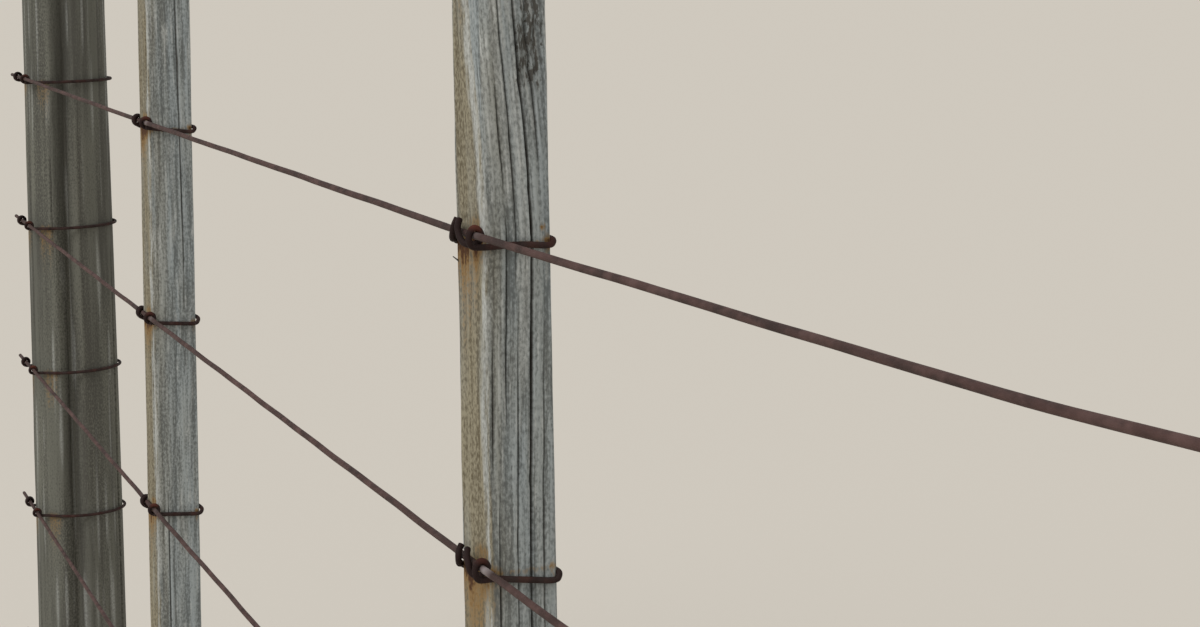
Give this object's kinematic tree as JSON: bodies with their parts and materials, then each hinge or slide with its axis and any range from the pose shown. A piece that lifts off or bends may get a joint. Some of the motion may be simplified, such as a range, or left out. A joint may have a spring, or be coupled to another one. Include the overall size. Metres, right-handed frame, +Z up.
{
  "type": "wire fence",
  "caption": "Plain wire farm fence: round posts, sawn timber droppers and rusty line wires tied on with short wires.",
  "frame": {"origin": "middle of the first post's foot, at ground level", "axes": "+X along the fence from the first post to the last, +Z up, the wires on the -Y side"},
  "size_m": [6.186, 0.1211, 1.21],
  "materials": {
    "post_timber": "weathered round timber, grey, checked",
    "dropper_timber": "weathered sawn timber, silver grey with rust stains",
    "line_wire": "evenly rusted plain wire",
    "tie_wire": "dark rusted tie wire"
  },
  "bodies": {
    "root": {"post_a": "post_timber", "post_b": "post_timber", "dropper_1": "dropper_timber", "dropper_2": "dropper_timber", "dropper_3": "dropper_timber", "dropper_4": "dropper_timber", "dropper_5": "dropper_timber", "line_wire_1": "line_wire", "line_wire_2": "line_wire", "line_wire_3": "line_wire", "line_wire_4": "line_wire", "line_wire_5": "line_wire", "line_wire_6": "line_wire", "ties_post_a": "tie_wire", "ties_dropper_1": "tie_wire", "ties_dropper_2": "tie_wire", "ties_dropper_3": "tie_wire", "ties_dropper_4": "tie_wire", "ties_dropper_5": "tie_wire", "ties_post_b": "tie_wire"}
  },
  "joints": []
}
